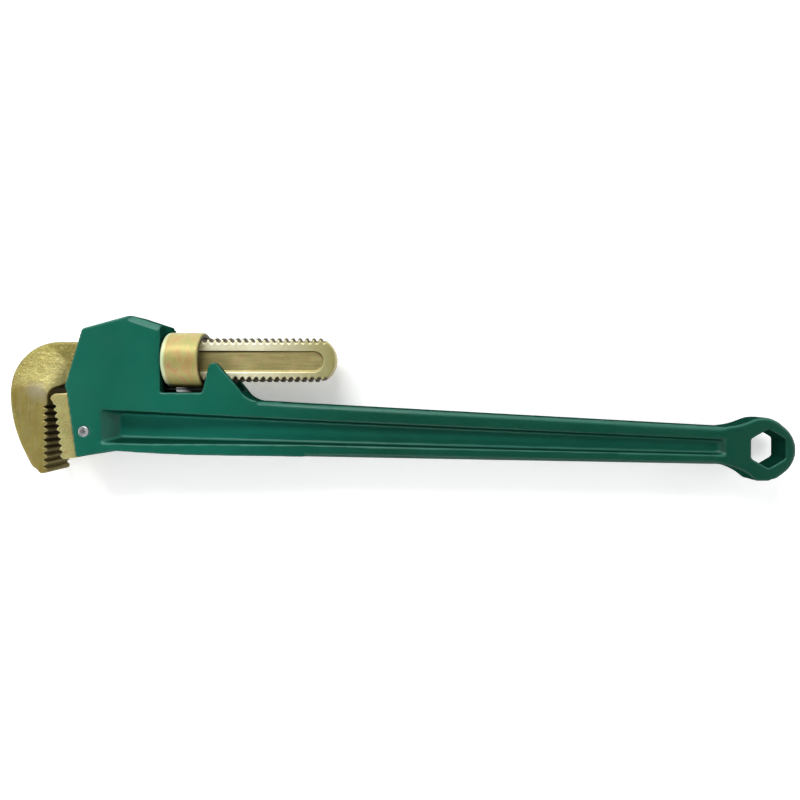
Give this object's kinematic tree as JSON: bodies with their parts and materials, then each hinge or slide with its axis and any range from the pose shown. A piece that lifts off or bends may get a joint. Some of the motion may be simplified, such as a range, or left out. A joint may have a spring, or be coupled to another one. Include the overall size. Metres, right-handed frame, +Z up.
{
  "type": "pipe wrench",
  "caption": "Heavy straight pipe wrench: green cast handle with hanging ring, toothed hook and heel jaws, adjusting nut on the threaded shank.",
  "frame": {"origin": "under the middle of the whole wrench as it lies on its side with the jaws nearly closed, level with the lowest point of the adjusting nut", "axes": "+X along the shank and handle from the jaws towards the hanging ring, +Y away from the mouth of the jaws, +Z up through the thickness"},
  "size_m": [0.7768, 0.1642, 0.0554],
  "materials": {
    "green_paint": "satin gloss enamel over cast iron",
    "yellow_zinc": "yellow zinc plating over forged steel",
    "yellow_zinc_nut": "yellow zinc plating over turned steel",
    "bright_steel": "bright",
    "spring_steel": "dark spring steel"
  },
  "bodies": {
    "handle": {"handle": "green_paint", "heel_jaw": "yellow_zinc", "heel_jaw_pin": "bright_steel", "coil_spring": "spring_steel"},
    "flat_spring": {"flat_spring": "spring_steel", "spring_rivet": "bright_steel"},
    "hook_jaw": {"hook_jaw": "yellow_zinc"},
    "adjusting_nut": {"adjusting_nut": "yellow_zinc_nut"}
  },
  "joints": [
    {"name": "jaw_rock", "type": "hinge", "parent": "handle", "child": "flat_spring", "pos_m": [-0.32578, 0.0101, 0.0277], "axis": [0, 0, -1], "range_deg": [0, 1], "stiffness_Nm_per_rad": 20, "springref_deg": -11.46, "deforming": ["coil_spring"]},
    {"name": "jaw_slide", "type": "slide", "parent": "flat_spring", "child": "hook_jaw", "axis": [-1, 0, 0], "range_m": [-0.003, 0.125]},
    {"name": "nut_spin", "type": "hinge", "parent": "flat_spring", "child": "adjusting_nut", "pos_m": [-0.22078, 0.0385, 0.0277], "axis": [1, 0, 0], "range_deg": [-160, 6440]}
  ],
  "couplings": [
    {"joint": "nut_spin", "follows": "jaw_slide", "rad_per_m": 897.6}
  ]
}
